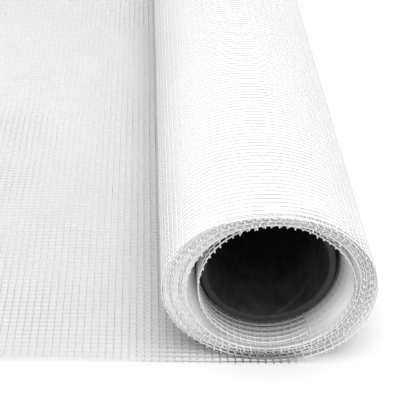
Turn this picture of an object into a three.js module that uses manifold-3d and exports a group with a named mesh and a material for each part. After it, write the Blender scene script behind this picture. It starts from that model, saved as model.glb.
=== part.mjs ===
// Fiberglass insect screen: one long sheet of coated mesh, wound loosely on a paper tube, with the
// first stretch of the sheet laid out flat on the floor.
// Millimetres, +Z up, the floor at z = 0, the roll's axis along Y.
import * as THREE from "three";
import { mergeVertices } from "three/addons/utils/BufferGeometryUtils.js";
import Module from "manifold-3d";

// The sheet
const sheetWidth = 1000; // across the cloth, along the roll's axis
const sheetThickness = 0.33;
const tailLength = 310; // laid out on the floor, from the line where the roll touches it

// A coarse grid of openings in the laid-out stretch stands in for the fine mesh. Its bars are wide
// enough to leave as much cloth as the mesh has.
const gridBar = 13;
const openingsAcross = 12;
const openingsAlong = 4;

// The wound part: the turns lie close above and below the tube, and stand apart at its sides, most
// of all over the laid-out stretch
const turns = 11;
const closePitch = 0.3;
const leftPitch = 0.76;
const rightPitch = 0.64;
const turnRelief = 0.6; // depth of the grooves between the turns' edges on the roll's ends

// The paper tube
const tubeBore = 25.4;
const tubeWall = 1.5;
const tubeRecess = 7; // from the sheet's edge to the tube's end, at both ends
const tubeClearance = 0.3; // between the tube and the innermost turn

// Facets round the roll. Half a facet of turn puts a flat one at the bottom, and an even number that
// isn't a multiple of four puts corners at its two sides.
const facets = 50;
const firstAngle = Math.PI / facets;

const tubeRadius = tubeBore / 2 + tubeWall;
const boreRadius = tubeRadius + tubeClearance;
const bottomRadius = boreRadius + turns * closePitch;
const rightRadius = boreRadius + turns * rightPitch;
const axisHeight = bottomRadius * Math.cos(firstAngle);

const wasm = await Module();
wasm.setup();

function solid(geometry) {
  const bare = geometry.clone();
  bare.deleteAttribute("normal");
  bare.deleteAttribute("uv");
  const merged = mergeVertices(bare);
  return new wasm.Manifold(
    new wasm.Mesh({
      numProp: 3,
      vertProperties: merged.attributes.position.array,
      triVerts: new Uint32Array(merged.index.array),
    }),
  );
}

function geometryOf(body) {
  const mesh = body.getMesh();
  const geometry = new THREE.BufferGeometry();
  geometry.setAttribute("position", new THREE.BufferAttribute(mesh.vertProperties, 3));
  geometry.setIndex(new THREE.BufferAttribute(mesh.triVerts, 1));
  const faceted = geometry.toNonIndexed();
  faceted.computeVertexNormals();
  return faceted;
}

// Half the length of the roll where t turns lie inside: full at a turn's edge, less in a groove.
function halfLengthAt(t) {
  return sheetWidth / 2 - (Number.isInteger(t) ? turnRelief : 0);
}

// The wound part's section, with the number of turns from the bore in place of the radius.
function woundProfile() {
  const steps = Array.from({ length: 2 * turns + 1 }, (_, i) => i / 2);
  const nearEnd = steps.map((t) => new THREE.Vector2(t, -halfLengthAt(t)));
  const farEnd = steps.toReversed().map((t) => new THREE.Vector2(t, halfLengthAt(t)));
  return [...nearEnd, ...farEnd, nearEnd[0]];
}

// Puts each vertex at its real radius: the pitch grows from the close one at the top and the bottom
// to the loose ones at the sides.
function spreadTurns(geometry) {
  const place = geometry.attributes.position;
  for (let i = 0; i < place.count; i++) {
    const t = Math.hypot(place.getX(i), place.getZ(i)) - 1;
    const sine = place.getX(i) / (t + 1);
    const cosine = place.getZ(i) / (t + 1);
    const sidePitch = sine < 0 ? leftPitch : rightPitch;
    const pitch = closePitch + (sidePitch - closePitch) * sine * sine;
    const radius = boreRadius + t * pitch;
    place.setX(i, radius * sine);
    place.setZ(i, radius * cosine);
  }
  return geometry;
}

function woundTurns() {
  const profile = woundProfile().map((point) => new THREE.Vector2(point.x + 1, point.y));
  const ring = new THREE.LatheGeometry(profile, facets, firstAngle);
  return spreadTurns(ring).translate(0, 0, axisHeight);
}

function bar(length, width, x, y) {
  const geometry = new THREE.BoxGeometry(length, width, sheetThickness);
  return solid(geometry.translate(x, y, sheetThickness / 2));
}

// The laid-out stretch: bars along it and across it, fused where they cross.
function laidSheet() {
  const stepAlong = (tailLength - gridBar) / openingsAlong;
  const stepAcross = (sheetWidth - gridBar) / openingsAcross;
  const bars = [];
  for (let i = 0; i <= openingsAlong; i++) {
    bars.push(bar(gridBar, sheetWidth, i * stepAlong + gridBar / 2 - tailLength, 0));
  }
  for (let j = 0; j <= openingsAcross; j++) {
    bars.push(bar(tailLength, gridBar, -tailLength / 2, j * stepAcross + (gridBar - sheetWidth) / 2));
  }
  return wasm.Manifold.union(bars);
}

function paperTube() {
  const halfLength = sheetWidth / 2 - tubeRecess;
  const wall = [
    new THREE.Vector2(tubeBore / 2, -halfLength),
    new THREE.Vector2(tubeRadius, -halfLength),
    new THREE.Vector2(tubeRadius, halfLength),
    new THREE.Vector2(tubeBore / 2, halfLength),
    new THREE.Vector2(tubeBore / 2, -halfLength),
  ];
  return new THREE.LatheGeometry(wall, facets, firstAngle).translate(0, 0, axisHeight);
}

const screen = new THREE.Mesh(
  geometryOf(solid(woundTurns()).add(laidSheet())),
  new THREE.MeshStandardMaterial({ color: 0xf2f2f0, roughness: 0.45, metalness: 0 }),
);
screen.name = "screen_sheet";

const tube = new THREE.Mesh(
  paperTube(),
  new THREE.MeshStandardMaterial({ color: 0x2b2a29, roughness: 0.85, metalness: 0 }),
);
tube.name = "core_tube";

// The roll's axis lies to the right of the middle, so that the origin is at the middle of the floor.
const roll = new THREE.Group();
roll.add(screen, tube);
roll.position.x = (tailLength - rightRadius) / 2;

const part = new THREE.Group();
part.add(roll);
export default part;
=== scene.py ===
"""Dresses the insect screen roll. The sheet's own threads show where it is laid out, on the
outermost turn, and on every turn near both ends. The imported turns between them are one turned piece,
and the dark paper tube is another."""

import math

import bpy
from mathutils import Matrix, Vector


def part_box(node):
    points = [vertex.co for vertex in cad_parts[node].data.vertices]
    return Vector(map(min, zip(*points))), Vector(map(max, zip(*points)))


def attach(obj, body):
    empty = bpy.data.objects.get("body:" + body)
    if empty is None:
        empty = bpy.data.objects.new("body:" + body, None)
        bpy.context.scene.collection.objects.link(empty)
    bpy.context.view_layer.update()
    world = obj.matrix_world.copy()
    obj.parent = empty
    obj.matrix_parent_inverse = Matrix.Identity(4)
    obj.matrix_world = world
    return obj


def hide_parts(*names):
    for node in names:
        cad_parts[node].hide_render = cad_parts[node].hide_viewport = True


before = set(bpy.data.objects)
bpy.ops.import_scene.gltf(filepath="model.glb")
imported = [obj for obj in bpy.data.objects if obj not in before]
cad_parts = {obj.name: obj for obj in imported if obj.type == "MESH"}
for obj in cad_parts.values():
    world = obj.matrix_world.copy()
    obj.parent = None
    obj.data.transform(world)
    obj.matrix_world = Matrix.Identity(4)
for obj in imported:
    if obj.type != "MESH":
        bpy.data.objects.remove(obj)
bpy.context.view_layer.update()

MM = 0.001
INCH = 25.4 * MM

# The mesh: threads to the inch, across the width and along the length
LENGTHWISE_PITCH = INCH / 18
CROSSWISE_PITCH = INCH / 16
THREAD_RADIUS = 0.14 * MM

# The winding, as in the CAD
TURNS = 11
TUBE_CLEARANCE = 0.3 * MM
TUBE_WALL = 1.5 * MM

# Places along the sheet, in turns from the floor inwards
OPEN_TURNS = 1  # up to here its threads run the sheet's whole width
INNER_START = TURNS - 2  # from here on it shows from inside
WOUND_TURNS = TURNS - 0.9  # its inner end

# What shows of the winding
LOOSE_DEPTH = 4.5 * MM  # how far in from the ends every turn has its own threads
INNER_DEPTH = 22 * MM  # the same for the innermost turn, which lies on the tube
NEAR_SETBACK = 0.5 * MM  # from the sheet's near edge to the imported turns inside
FAR_SETBACK = 1.9 * MM  # the same at the far edge, where the outermost turn has slid in over them
FRINGE = 0.4 * MM  # how far the inner turns' cut thread ends stand out of the edge

# How far the three lowest layers on the floor stand out of the roll's near end, from the outermost,
# and for what share of a turn on either side of the floor
STANDING_OUT = (2.3 * MM, 1.5 * MM, 0.8 * MM)
ON_FLOOR = 0.15
WAVING = 0.3 * MM  # of the edges of the turns inside

# The laid-out end stands off the floor in low waves, once it is clear of the roll
LIFT_STARTS, LIFT_ENDS = 8 * MM, 36 * MM
LIFT = 1.7 * MM
RIPPLE = 0.5 * MM
SWELL = 0.4 * MM

# The gap between the innermost turn and the rest, which hangs from the top of the tube. It is widest
# at the sheet's edge, and closes further in.
LEFT_GAP = 2.0 * MM
RIGHT_GAP = 2.9 * MM
LOWER_GAP = 1.1 * MM
MOUTH_DEPTH = 9 * MM
LEAVING_TUBE = 1.03  # turns from the tube where the sheet starts to leave it
LEAVING_SHARE = 0.2  # share of a turn that this takes
LEFT_SWELL = 5.06 * MM  # how much further the roll reaches over the laid-out sheet than up

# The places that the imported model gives
SHEET_LOW, SHEET_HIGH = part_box("screen_sheet")
TUBE_LOW, TUBE_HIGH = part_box("core_tube")
AXIS = (TUBE_LOW + TUBE_HIGH) / 2
TUBE_RADIUS = (TUBE_HIGH.x - TUBE_LOW.x) / 2
BORE_RADIUS = TUBE_RADIUS + TUBE_CLEARANCE
RIGHT_RADIUS = SHEET_HIGH.x - AXIS.x
UPPER_RADIUS = SHEET_HIGH.z - AXIS.z
LEFT_RADIUS = UPPER_RADIUS + LEFT_SWELL
NEAR_EDGE = SHEET_LOW.y
FAR_EDGE = SHEET_HIGH.y
WIDTH = FAR_EDGE - NEAR_EDGE
TAIL_LENGTH = AXIS.x - SHEET_LOW.x


# Node trees


class Value:
    """A number on its way through a node tree: Python's operators add the Math nodes."""

    def __init__(self, tree, socket):
        self.tree = tree
        self.socket = socket

    def maths(self, operation, *values):
        inputs = dict(enumerate(values))
        return self.tree.add("ShaderNodeMath", {"operation": operation}, inputs).value()

    def __add__(self, other):
        return self.maths("ADD", self, other)

    __radd__ = __add__

    def __sub__(self, other):
        return self.maths("SUBTRACT", self, other)

    def __rsub__(self, other):
        return self.maths("SUBTRACT", other, self)

    def __mul__(self, other):
        return self.maths("MULTIPLY", self, other)

    __rmul__ = __mul__

    def __truediv__(self, other):
        return self.maths("DIVIDE", self, other)

    def __abs__(self):
        return self.maths("ABSOLUTE", self)

    def sine(self):
        return self.maths("SINE", self)

    def angle_to(self, other):
        return self.maths("ARCTAN2", self, other)

    def at_least(self, other):
        return self.maths("MAXIMUM", self, other)

    def wave(self, length):
        """A sine of this number that repeats every length."""
        return (self * (2 * math.pi / length)).sine()

    def ramp(self, start, end):
        """0 where this number is at start and 1 where it is at end, smooth between and beyond."""
        inputs = {"Value": self, "From Min": start, "From Max": end}
        node = self.tree.add("ShaderNodeMapRange", {"interpolation_type": "SMOOTHSTEP"}, inputs)
        return node.value("Result")


class Node:
    """A node that was added, with its outputs by name."""

    def __init__(self, tree, node):
        self.tree = tree
        self.node = node

    def out(self, name=0):
        return self.node.outputs[name]

    def value(self, name=0):
        return Value(self.tree, self.node.outputs[name])


class Tree:
    """Adds nodes to one shader or geometry tree."""

    def __init__(self, node_tree):
        self.node_tree = node_tree

    def add(self, kind, settings=None, inputs=None):
        node = self.node_tree.nodes.new(kind)
        for name, setting in (settings or {}).items():
            setattr(node, name, setting)
        for name, value in (inputs or {}).items():
            self.plug(node.inputs[name], value)
        return Node(self, node)

    def plug(self, socket, value):
        if isinstance(value, Value):
            self.node_tree.links.new(value.socket, socket)
        elif isinstance(value, Node):
            self.node_tree.links.new(value.out(), socket)
        elif isinstance(value, bpy.types.NodeSocket):
            self.node_tree.links.new(value, socket)
        else:
            socket.default_value = value

    def parts(self, vector):
        """The three numbers of a vector."""
        node = self.add("ShaderNodeSeparateXYZ", None, {0: vector})
        return [node.value(axis) for axis in "XYZ"]

    def vector(self, x=0.0, y=0.0, z=0.0):
        return self.add("ShaderNodeCombineXYZ", None, {"X": x, "Y": y, "Z": z}).out()

    def vector_maths(self, operation, first, second):
        settings = {"operation": operation}
        return self.add("ShaderNodeVectorMath", settings, {0: first, 1: second}).out()

    def noise(self, vector, scale, detail=2.0):
        inputs = {"Vector": vector, "Scale": scale, "Detail": detail}
        return self.add("ShaderNodeTexNoise", None, inputs)

    def mix(self, factor, first, second):
        inputs = {"Factor": factor, 6: first, 7: second}
        return self.add("ShaderNodeMix", {"data_type": "RGBA"}, inputs).out(2)


# The sheet's path


def smooth(share):
    share = min(max(share, 0.0), 1.0)
    return share * share * (3 - 2 * share)


def edge_drift(turn):
    """How far the sheet has slid along the roll where it has been wound on for so many turns. It stands
    out all along the floor, and goes back over the first turn. The next two turns stand out less, on the
    floor only."""
    layer = round(turn)
    lowest = STANDING_OUT[layer] if layer in (1, 2) else 0.0
    on_floor = 1 - smooth(abs(turn - layer) / ON_FLOOR)
    waving = WAVING * math.sin(2.3 * (turn - 1)) if turn > 1 else 0.0
    return waving - lowest * on_floor - STANDING_OUT[0] * (1 - smooth(turn))


def radius_at(inside, angle):
    """How far from the axis the sheet lies with so many turns inside it, at an angle counted from the
    floor towards the right. The innermost turn lies on the tube, and a gap parts the rest from it."""
    sine, cosine = math.sin(angle), math.cos(angle)
    side = sine**2
    outermost = UPPER_RADIUS + ((RIGHT_RADIUS if sine > 0 else LEFT_RADIUS) - UPPER_RADIUS) * side
    gap = (RIGHT_GAP if sine > 0 else LEFT_GAP) * side + LOWER_GAP * max(cosine, 0) ** 2
    pressed = (UPPER_RADIUS - BORE_RADIUS) / TURNS
    standing_off = gap * smooth((inside - LEAVING_TUBE) / LEAVING_SHARE)
    spread = outermost - BORE_RADIUS - gap - pressed * TURNS
    return BORE_RADIUS + inside * pressed + standing_off + spread * max(inside - 1, 0) / (TURNS - 1)


def wound_point(turn):
    """The sheet's middle where it has been wound on for so many turns, counted from the floor."""
    angle = 2 * math.pi * turn
    held = smooth(turn / 2) * smooth((TURNS - 1 - turn) / 2)
    uneven = 0.2 * held * math.sin(angle) ** 2 * math.sin(1.7 * angle)
    radius = radius_at(TURNS - 0.5 - turn + uneven, angle)
    x = AXIS.x + radius * math.sin(angle)
    z = AXIS.z - radius * math.cos(angle)
    return Vector((x, edge_drift(turn), z))


def sheet_path():
    """Points along the sheet, from the laid-out end to the inner end, with the number of steps up to the
    roll and in a turn."""
    start = wound_point(0)
    tail_steps, steps_per_turn = 62, 72
    before = [TAIL_LENGTH * (1 - step / tail_steps) for step in range(tail_steps)]
    tail = [Vector((AXIS.x - length, start.y, start.z)) for length in before]
    wound_steps = round(WOUND_TURNS * steps_per_turn)
    wound = [wound_point(i / steps_per_turn) for i in range(wound_steps + 1)]
    return tail + wound, tail_steps, steps_per_turn


def length_of(points):
    return sum((b - a).length for a, b in zip(points, points[1:]))


def path_object(points):
    curve = bpy.data.curves.new("sheet_path", "CURVE")
    curve.dimensions = "3D"
    spline = curve.splines.new("POLY")
    spline.points.add(len(points) - 1)
    for place, point in zip(spline.points, points):
        place.co = (*point, 1.0)
    holder = bpy.data.objects.new("sheet_path", curve)
    bpy.context.scene.collection.objects.link(holder)
    return holder


# Threads, by Geometry Nodes


def new_geometry_tree(name, inputs):
    """A geometry tree with these named inputs, and their values by name."""
    node_tree = bpy.data.node_groups.new(name, "GeometryNodeTree")
    node_tree.interface.new_socket("Geometry", in_out="OUTPUT", socket_type="NodeSocketGeometry")
    for label, kind in inputs.items():
        node_tree.interface.new_socket(label, in_out="INPUT", socket_type="NodeSocket" + kind)
    tree = Tree(node_tree)
    given = tree.add("NodeGroupInput")
    return tree, {label: given.value(label) for label in inputs}


def loosened(tree, curves, given):
    """Moves threads a little where the sheet isn't held: the turns stand unevenly towards the roll's
    ends, and the laid-out end lifts off the floor in low waves in front of the roll."""
    wound = given["Wound"]
    x, y, z = tree.parts(tree.add("GeometryNodeInputPosition"))
    from_edge = WIDTH / 2 - abs(y)
    near_ends = 1 - from_edge.ramp(0.0, 60 * MM)
    above_floor = z.ramp(1.5 * MM, 8 * MM)
    stretched = tree.vector(x, y * 0.35, z)
    noise = tree.noise(stretched, 1 / (9 * MM), 1.0)
    away = tree.vector_maths("SUBTRACT", noise.out("Color"), (0.5, 0.5, 0.5))
    strength = above_floor * (0.2 + near_ends * 0.8) * given["Looseness"]
    moved = tree.add("ShaderNodeVectorMath", {"operation": "SCALE"}, {0: away, "Scale": strength})
    from_roll = AXIS.x - x
    lift = from_roll.ramp(LIFT_STARTS, LIFT_ENDS) * (1 - wound)
    ripple = (x + y * 0.35).wave(46 * MM) * (y - x * 0.3).wave(118 * MM)
    swell = (y + x * 0.5).wave(83 * MM)
    height = lift * (LIFT + ripple * RIPPLE + swell * SWELL)
    offset = tree.vector_maths("ADD", moved.out(), tree.vector(z=height))
    inputs = {"Geometry": curves, "Offset": offset}
    return tree.add("GeometryNodeSetPosition", None, inputs).out()


def bake_map(tree, threads, wound):
    """Adds the map that the threads' colours can be baked with: the place across the sheet, and the
    place along the floor or round the roll. The height slants both, so that each face has some width."""
    x, y, z = tree.parts(tree.add("GeometryNodeInputPosition"))
    across, up = x - AXIS.x, z - AXIS.z
    radius = tree.add("ShaderNodeVectorMath", {"operation": "LENGTH"}, {0: tree.vector(across, 0.0, up)})
    height = z * (1 - wound) + radius.value("Value") * wound
    place = across * (1 - wound) + across.angle_to(up) * UPPER_RADIUS * wound
    u = (y + height * 0.37) / WIDTH + 0.5
    v = (place + height * 0.3) / (TAIL_LENGTH * 1.1) + (1 - wound) * 0.4 + 0.5
    inputs = {"Geometry": threads, "Name": "OFBake", "Value": tree.vector(u, v)}
    settings = {"data_type": "FLOAT2", "domain": "CORNER"}
    return tree.add("GeometryNodeStoreNamedAttribute", settings, inputs)


def thread_mesh(tree, curves, given):
    """Round threads along curves, as one mesh with its material."""
    profile_inputs = {"Resolution": given["Sides"], "Radius": given["Thread Radius"]}
    profile = tree.add("GeometryNodeCurvePrimitiveCircle", None, profile_inputs)
    inputs = {"Curve": curves, "Profile Curve": profile, "Fill Caps": True}
    threads = tree.add("GeometryNodeCurveToMesh", None, inputs)
    mapped = bake_map(tree, threads, given["Wound"])
    shaded = tree.add("GeometryNodeSetShadeSmooth", None, {"Geometry": mapped})
    inputs = {"Geometry": shaded, "Material": given["Material"]}
    return tree.add("GeometryNodeSetMaterial", None, inputs)


COMMON_INPUTS = {
    "Path": "Object",
    "Path Start": "Float",
    "Path End": "Float",
    "Pitch": "Float",
    "Thread Radius": "Float",
    "Sides": "Int",
    "Looseness": "Float",
    "Wound": "Float",
    "Material": "Material",
}


def stretch_of_path(tree, given):
    path = tree.add("GeometryNodeObjectInfo", None, {"Object": given["Path"]})
    inputs = {"Curve": path.out("Geometry"), "Start": given["Path Start"], "End": given["Path End"]}
    return tree.add("GeometryNodeTrimCurve", None, inputs)


def lengthwise_tree():
    """Threads that follow the path, side by side across the sheet's width."""
    extra = {"Segments": "Int", "Count": "Int", "First": "Float"}
    tree, given = new_geometry_tree("lengthwise threads", COMMON_INPUTS | extra)
    stretch = stretch_of_path(tree, given)
    points = given["Segments"] + 1
    one = tree.add("GeometryNodeResampleCurve", None, {"Curve": stretch, "Count": points})
    line_inputs = {
        "Count": given["Count"],
        "Start Location": tree.vector(y=given["First"]),
        "Offset": tree.vector(y=given["Pitch"]),
    }
    places = tree.add("GeometryNodeMeshLine", None, line_inputs)
    copies = tree.add("GeometryNodeInstanceOnPoints", None, {"Points": places, "Instance": one})
    curves = tree.add("GeometryNodeRealizeInstances", None, {"Geometry": copies})
    moved = loosened(tree, curves, given)
    tree.add("NodeGroupOutput", None, {"Geometry": thread_mesh(tree, moved, given)})
    return tree.node_tree


def crosswise_tree():
    """Threads across the sheet, one after another along the path, with unevenly cut ends."""
    extra = {"Segments": "Int", "From": "Float", "To": "Float", "Cut": "Float", "Seed": "Int"}
    tree, given = new_geometry_tree("crosswise threads", COMMON_INPUTS | extra)
    stretch = stretch_of_path(tree, given)
    inputs = {"Curve": stretch, "Length": given["Pitch"]}
    places = tree.add("GeometryNodeResampleCurve", {"mode": "LENGTH"}, inputs)
    ends = {"Start": tree.vector(y=given["From"]), "End": tree.vector(y=given["To"])}
    line = tree.add("GeometryNodeCurvePrimitiveLine", None, ends)
    points = given["Segments"] + 1
    one = tree.add("GeometryNodeResampleCurve", None, {"Curve": line, "Count": points})
    copies = tree.add("GeometryNodeInstanceOnPoints", None, {"Points": places, "Instance": one})
    curves = tree.add("GeometryNodeRealizeInstances", None, {"Geometry": copies})
    uneven = tree.add("FunctionNodeRandomValue", None, {2: -1.0, 3: 1.0, "Seed": given["Seed"]})
    offset = tree.vector(y=uneven.value(1) * given["Cut"])
    at_ends = tree.add("GeometryNodeCurveEndpointSelection", None, {"Start Size": 1, "End Size": 1})
    inputs = {"Geometry": curves, "Selection": at_ends, "Offset": offset}
    cut = tree.add("GeometryNodeSetPosition", None, inputs)
    moved = loosened(tree, cut, given)
    tree.add("NodeGroupOutput", None, {"Geometry": thread_mesh(tree, moved, given)})
    return tree.node_tree


def grown(name, node_tree, values):
    """The tree's result with these input values, as a plain mesh object."""
    holder = bpy.data.objects.new(name + "_holder", bpy.data.meshes.new(name + "_holder"))
    bpy.context.scene.collection.objects.link(holder)
    modifier = holder.modifiers.new("threads", "NODES")
    modifier.node_group = node_tree
    for item in node_tree.interface.items_tree:
        if item.in_out == "INPUT":
            modifier[item.identifier] = values[item.name]
    depsgraph = bpy.context.evaluated_depsgraph_get()
    mesh = bpy.data.meshes.new_from_object(holder.evaluated_get(depsgraph), depsgraph=depsgraph)
    bpy.data.objects.remove(holder)
    mesh.name = name
    return mesh


def joined(name, meshes):
    """One object from several meshes, each with its own material."""
    parts = [bpy.data.objects.new(name, mesh) for mesh in meshes]
    for part in parts:
        bpy.context.scene.collection.objects.link(part)
    with bpy.context.temp_override(
        active_object=parts[0], selected_editable_objects=parts, selected_objects=parts
    ):
        bpy.ops.object.join()
    parts[0].name = name
    return parts[0]


# Materials


def new_material(name, roughness):
    material = bpy.data.materials.new(name)
    material.use_nodes = True
    material.node_tree.nodes.clear()
    tree = Tree(material.node_tree)
    shader = tree.add("ShaderNodeBsdfPrincipled", None, {"Roughness": roughness})
    tree.add("ShaderNodeOutputMaterial", None, {"Surface": shader})
    return material, tree, shader.node


def coated_thread_material(name, at_edge, inside, reach):
    """White plastic coating on glass yarn: a faint unevenness of tone, and the yarn's twist under it.
    Its tone changes from the sheet's two edges to so far inside, as painted shade where it darkens.
    The edges that lie on the floor under the roll are painted darker, as painted shade under the roll."""
    material, tree, shader = new_material(name, 0.42)
    place = tree.add("ShaderNodeTexCoord").out("Object")
    x, y, z = tree.parts(place)
    from_edge = WIDTH / 2 - abs(y)
    cloud = tree.noise(place, 1 / (35 * MM), 3.0).value("Fac")
    # Painted shade under the roll: near the floor, by the sheet's edges and close below the axis, the
    # threads are darkened
    painted_shade_under_roll = z.ramp(2.4 * MM, 0.1 * MM) * from_edge.ramp(3 * MM, 0.5 * MM)
    painted_shade_under_roll = painted_shade_under_roll * abs(x - AXIS.x).ramp(14 * MM, 5 * MM)
    # Where at_edge and inside differ this tone is painted shade: darker towards the edges on the laid-out
    # sheet, darker deeper in on the turn on the tube
    tone = from_edge.ramp(0.0, reach) * (inside - at_edge) + at_edge + (cloud - 0.5) * 0.09
    left = tone * (1 - painted_shade_under_roll * 0.7)
    tree.plug(shader.inputs["Base Color"], tree.mix(left, (0, 0, 0, 1), (1, 1, 0.995, 1)))
    grain = tree.noise(place, 1 / (0.35 * MM), 1.0).out("Fac")
    bump_inputs = {"Strength": 0.25, "Distance": 0.03 * MM, "Height": grain}
    tree.plug(shader.inputs["Normal"], tree.add("ShaderNodeBump", None, bump_inputs))
    return material


def packed_turns_material():
    """The turns under the outermost one, pressed together: mesh over mesh, threads, and holes painted
    greyer as the shade in them.
    """
    material, tree, shader = new_material("packed turns", 0.55)
    x, y, z = tree.parts(tree.add("ShaderNodeTexCoord").out("Object"))
    angle = (x - AXIS.x).angle_to(z - AXIS.z)
    around = angle * ((UPPER_RADIUS + BORE_RADIUS) / 2)

    def holes_of_turn(shift):
        along = ((y + shift) * 0.5).wave(LENGTHWISE_PITCH)
        across = ((around + shift) * 0.5).wave(CROSSWISE_PITCH)
        return abs(along) * abs(across)

    holes = holes_of_turn(0.0) * holes_of_turn(0.45 * MM)
    threads = 1 - holes.ramp(0.12, 0.75)
    # Painted shade: the holes are a little greyer than the threads
    colour = tree.mix(threads, (0.87, 0.87, 0.87, 1), (0.91, 0.91, 0.905, 1))
    tree.plug(shader.inputs["Base Color"], colour)
    bump_inputs = {"Strength": 0.35, "Distance": 0.12 * MM, "Height": threads}
    tree.plug(shader.inputs["Normal"], tree.add("ShaderNodeBump", None, bump_inputs))
    return material


def mouth_material():
    """The inner turn where the roll's mouth narrows: a net that shows more of the dark tube the deeper it
    lies, with painted shade that darkens it the deeper it lies and towards the bottom."""
    material, tree, shader = new_material("mouth of the winding, painted shade", 0.6)
    x, y, z = tree.parts(tree.add("ShaderNodeTexCoord").out("Object"))
    depth = WIDTH / 2 - abs(y)
    angle = (x - AXIS.x).angle_to(z - AXIS.z)
    along = abs((y * 0.5).wave(LENGTHWISE_PITCH)).ramp(0.75, 0.25)
    across = abs((angle * (BORE_RADIUS * 0.5)).wave(CROSSWISE_PITCH)).ramp(0.5, 0.15)
    threads = along.at_least(across)
    # Painted shade: the net is darker the deeper it lies and towards the bottom, on its threads as well as
    # between them
    low = z.ramp(12 * MM, 3 * MM)
    lit = depth.ramp(9.5 * MM, 2.2 * MM) * (1 - low * 0.5)
    between = tree.mix(lit, (0.15, 0.15, 0.15, 1), (0.94, 0.94, 0.935, 1))
    on_threads = tree.mix(lit, (0.24, 0.24, 0.24, 1), (0.96, 0.96, 0.955, 1))
    tree.plug(shader.inputs["Base Color"], tree.mix(threads, between, on_threads))
    bump_inputs = {"Strength": 0.3, "Distance": 0.1 * MM, "Height": threads}
    tree.plug(shader.inputs["Normal"], tree.add("ShaderNodeBump", None, bump_inputs))
    return material


def paper_tube_material():
    """Dark grey paper, wound on a slant: fibres, the seam's faint line, and a paler cut rim."""
    material, tree, shader = new_material("dark paper", 0.8)
    place = tree.add("ShaderNodeTexCoord").out("Object")
    x, y, z = tree.parts(place)
    angle = (x - AXIS.x).angle_to(z - AXIS.z)
    stretched = tree.vector(x, y * 0.3, z)
    fibres = tree.noise(stretched, 1 / (1.2 * MM), 4.0).value("Fac")
    blotches = tree.noise(place, 1 / (9 * MM), 2.0).value("Fac")
    strip = 52 * MM
    seam_place = y + angle * (strip / (2 * math.pi))
    seam = abs((seam_place * 0.5).wave(strip)).ramp(0.05, 0.0)
    skin = 0.05 * MM
    rim = (abs(y) - (TUBE_HIGH.y - skin)).ramp(-skin, 0.0)
    tone = fibres * 0.5 + blotches * 0.5
    uneven = tone.ramp(0.3, 0.7)
    paper = tree.mix(uneven, (0.008, 0.008, 0.008, 1), (0.038, 0.038, 0.037, 1))
    with_seam = tree.mix(seam * 0.5, paper, (0.06, 0.06, 0.058, 1))
    colour = tree.mix(rim, with_seam, (0.028, 0.028, 0.027, 1))
    tree.plug(shader.inputs["Base Color"], colour)
    height = fibres * 0.6 + seam * 0.8
    bump_inputs = {"Strength": 0.4, "Distance": 0.15 * MM, "Height": height}
    tree.plug(shader.inputs["Normal"], tree.add("ShaderNodeBump", None, bump_inputs))
    return material


# Turned pieces


def ring(name, rows, segments):
    """A closed ring about the roll's axis. Each row gives y, and the radius as a function of the angle."""
    vertices = []
    for i in range(segments):
        angle = 2 * math.pi * i / segments
        for y, radius in rows:
            reach = radius(angle)
            vertices.append((AXIS.x + reach * math.sin(angle), y, AXIS.z - reach * math.cos(angle)))
    count = len(rows)
    faces = []
    for i in range(segments):
        for j in range(count):
            k, after = (i + 1) % segments, (j + 1) % count
            faces.append((i * count + j, i * count + after, k * count + after, k * count + j))
    mesh = bpy.data.meshes.new(name)
    mesh.from_pydata(vertices, [], faces)
    mesh.shade_smooth()
    mesh.set_sharp_from_angle(angle=math.radians(40))
    piece = bpy.data.objects.new(name, mesh)
    bpy.context.scene.collection.objects.link(piece)
    return piece


def turn_place(inside):
    return lambda angle: radius_at(inside, angle)


def mouth_place(inside, closed):
    """The mouth's wall, from the place of a turn at the edge, at 0, down to the tube's turn, at 1."""
    deepest = BORE_RADIUS + 0.4 * MM
    return lambda angle: radius_at(inside, angle) * (1 - closed) + deepest * closed


def make_packed_turns(material, mouth):
    """The turns between the innermost and the outermost one, with ridges on their ends, and with the
    mouth that narrows towards the tube."""
    inner, outer = 1.6, TURNS - OPEN_TURNS - 0.7  # in turns from the tube
    groove = 0.3 * MM
    steps = 2 * round(outer - inner)
    end = [(groove * (i % 2), turn_place(inner + (outer - inner) * i / steps)) for i in range(steps + 1)]
    mouth_steps = 8
    shares = [i / mouth_steps for i in range(mouth_steps, 0, -1)]
    end = [(MOUTH_DEPTH * share, mouth_place(inner, smooth(share))) for share in shares] + end
    near, far = NEAR_EDGE + NEAR_SETBACK, FAR_EDGE - FAR_SETBACK
    rows = [(near + depth, place) for depth, place in end]
    rows += [(far - depth, place) for depth, place in reversed(end)]
    piece = ring("packed_turns", rows, 96)
    piece.data.materials.append(material)
    piece.data.materials.append(mouth)
    for face in piece.data.polygons:
        row = face.index % len(rows)
        in_mouth = min(row, len(rows) - 2 - row) < mouth_steps
        face.material_index = 1 if in_mouth else 0
    return piece


def make_tube(material):
    """The paper tube, with its edges slightly crushed round."""
    near, far = TUBE_LOW.y, TUBE_HIGH.y
    inner, outer = TUBE_RADIUS - TUBE_WALL, TUBE_RADIUS
    soft = 0.25 * MM
    section = [
        (near + soft, inner),
        (near, inner + soft),
        (near, outer - soft),
        (near + soft, outer),
        (far - soft, outer),
        (far, outer - soft),
        (far, inner + soft),
        (far - soft, inner),
    ]
    rows = [(y, lambda angle, radius=radius: radius) for y, radius in section]
    piece = ring("paper_tube", rows, 128)
    piece.data.materials.append(material)
    return piece


# The sheet's pieces


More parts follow.
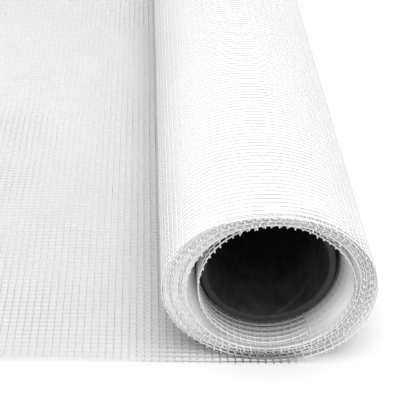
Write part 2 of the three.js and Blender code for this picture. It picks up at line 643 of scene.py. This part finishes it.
def make_sheet(laid_material, wound_material, inner_material):
    """The sheet's pieces: the laid-out end, the outermost turn at full width, and both ends of the
    turns inside it."""
    points, tail_steps, per_turn = sheet_path()
    path = path_object(points)
    whole = length_of(points)

    def share_to(turn):
        return length_of(points[: tail_steps + round(turn * per_turn) + 1]) / whole

    to_roll, to_open, to_inner = share_to(0), share_to(OPEN_TURNS), share_to(INNER_START)
    lengthwise, crosswise = lengthwise_tree(), crosswise_tree()

    def stretch(start, end, sides, looseness, material=wound_material):
        """The inputs of both trees for a stretch of the sheet. A thread keeps its round girth, whatever
        the number of its sides."""
        return {
            "Path": path,
            "Path Start": start,
            "Path End": end,
            "Sides": sides,
            "Thread Radius": THREAD_RADIUS * math.pi / (sides * math.sin(math.pi / sides)),
            "Looseness": looseness,
            "Wound": 0.0 if end == to_roll else 1.0,
            "Material": material,
            "Seed": 4,
        }

    laid = stretch(0.0, to_roll, 3, 0.0, laid_material)
    opened = stretch(to_roll, to_open, 3, 0.35 * MM)
    inside = stretch(to_open, to_inner, 4, 0.6 * MM)
    inner = stretch(to_inner, 1.0, 4, 0.35 * MM, inner_material)
    count = round(WIDTH / LENGTHWISE_PITCH)
    selvage = (WIDTH - (count - 1) * LENGTHWISE_PITCH) / 2

    def along(kind, first, last, segments):
        start = NEAR_EDGE + selvage + first * LENGTHWISE_PITCH
        values = {"Pitch": LENGTHWISE_PITCH, "First": start, "Count": last - first, "Segments": segments}
        return grown("along", lengthwise, kind | values)

    def across(kind, start, end, segments, cut):
        values = {"Pitch": CROSSWISE_PITCH, "From": start, "To": end, "Segments": segments, "Cut": cut}
        return grown("across", crosswise, kind | values)

    middle = count // 2
    middle_y = NEAR_EDGE + selvage + (middle - 0.5) * LENGTHWISE_PITCH
    pieces = {
        "laid_sheet": [
            along(laid, 0, count, 32),
            across(laid, NEAR_EDGE, FAR_EDGE, 36, 0.15 * MM),
        ],
        "open_turns_near": [
            along(opened, 0, middle, 64),
            across(opened, NEAR_EDGE - 0.2 * MM, middle_y, 24, 0.2 * MM),
        ],
        "open_turns_far": [
            along(opened, middle, count, 64),
            across(opened, middle_y, FAR_EDGE + 0.2 * MM, 24, 0.2 * MM),
        ],
    }
    steps_per_turn = 60
    steps = (INNER_START - OPEN_TURNS) * steps_per_turn
    loose = round(LOOSE_DEPTH / LENGTHWISE_PITCH)
    innermost = round(INNER_DEPTH / LENGTHWISE_PITCH)
    near, far = NEAR_EDGE - FRINGE, FAR_EDGE + FRINGE
    pieces["loose_turns_near"] = [
        along(inside, 0, loose, steps),
        across(inside, near, NEAR_EDGE + LOOSE_DEPTH, 4, 0.5 * MM),
        along(inner, 0, innermost, 64),
        across(inner, near, NEAR_EDGE + INNER_DEPTH, 6, 0.3 * MM),
    ]
    pieces["loose_turns_far"] = [
        along(inside, count - loose, count, steps),
        across(inside, FAR_EDGE - LOOSE_DEPTH, far, 4, 0.5 * MM),
        along(inner, count - innermost, count, 64),
        across(inner, FAR_EDGE - INNER_DEPTH, far, 6, 0.3 * MM),
    ]
    made = {name: joined(name, meshes) for name, meshes in pieces.items()}
    bpy.data.objects.remove(path)
    return made


# Surroundings


def make_floor():
    material, tree, shader = new_material("floor", 0.6)
    place = tree.add("ShaderNodeTexCoord").out("Object")
    tone = tree.noise(place, 1 / (400 * MM), 2.0).out("Fac")
    tree.plug(shader.inputs["Base Color"], tree.mix(tone, (0.71, 0.71, 0.71, 1), (0.73, 0.73, 0.73, 1)))
    reach = 6.0
    mesh = bpy.data.meshes.new("floor")
    corners = [(-reach, -reach, 0), (reach, -reach, 0), (reach, reach, 0), (-reach, reach, 0)]
    mesh.from_pydata(corners, [], [(0, 1, 2, 3)])
    mesh.materials.append(material)
    floor = bpy.data.objects.new("floor", mesh)
    bpy.context.scene.collection.objects.link(floor)


def aimed(direction, turn=0.0):
    """Camera axes that look along a direction, turned about it."""
    forward = direction.normalized()
    right = forward.cross(Vector((0, 0, 1))).normalized()
    up = right.cross(forward)
    level = Matrix((right, up, -forward)).transposed()
    return level.to_4x4() @ Matrix.Rotation(turn, 4, "Z")


def make_camera():
    """The photograph's view, worked out from the mesh's own pitch and the tube's rim."""
    camera_data = bpy.data.cameras.new("camera")
    camera = bpy.data.objects.new("camera", camera_data)
    bpy.context.scene.collection.objects.link(camera)
    camera_data.sensor_width = 36.0
    camera_data.lens = 102.9
    camera_data.clip_start = 0.01
    pitch, yaw, roll = math.radians(32.06), math.radians(3.95), math.radians(2.85)
    from_near_end = Vector((-28.0, -184.5, 154.3)) * MM
    level = math.cos(pitch)
    forward = Vector((math.sin(yaw) * level, math.cos(yaw) * level, -math.sin(pitch)))
    place = Vector((AXIS.x, NEAR_EDGE, 0)) + from_near_end
    camera.matrix_world = Matrix.Translation(place) @ aimed(forward, roll)
    bpy.context.scene.camera = camera


def make_light(name, place, target, size, watts):
    light = bpy.data.lights.new(name, "AREA")
    light.shape = "DISK"
    light.size = size
    light.energy = watts
    lamp = bpy.data.objects.new(name, light)
    lamp.matrix_world = Matrix.Translation(place) @ aimed(target - place)
    bpy.context.scene.collection.objects.link(lamp)


def make_studio():
    world = bpy.data.worlds.new("studio")
    world.use_nodes = True
    background = world.node_tree.nodes["Background"]
    background.inputs["Color"].default_value = (1.0, 1.0, 1.0, 1.0)
    background.inputs["Strength"].default_value = 0.88
    bpy.context.scene.world = world
    target = Vector((AXIS.x, NEAR_EDGE + 60 * MM, 0))
    make_light("overhead", target + Vector((-0.02, -0.33, 1.1)), target, 1.2, 12.5)
    bpy.context.scene.view_settings.view_transform = "Standard"


# The whole scene

make_camera()
make_floor()
make_studio()

# Painted shade: the laid-out sheet is a darker copy of the thread, darkest towards its edges,
# and the turn on the tube is painted darker the deeper it lies, where it gets less light
sheet_pieces = make_sheet(
    coated_thread_material("thread laid out, painted shade", 0.60, 0.72, 120 * MM),
    coated_thread_material("thread wound", 0.78, 0.78, 10 * MM),
    coated_thread_material("thread on the tube, painted shade", 0.74, 0.28, 7 * MM),
)
packed = make_packed_turns(packed_turns_material(), mouth_material())
tube = make_tube(paper_tube_material())

for piece in [*sheet_pieces.values(), packed]:
    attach(piece, "root")
    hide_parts("screen_sheet")
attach(tube, "root")
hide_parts("core_tube")
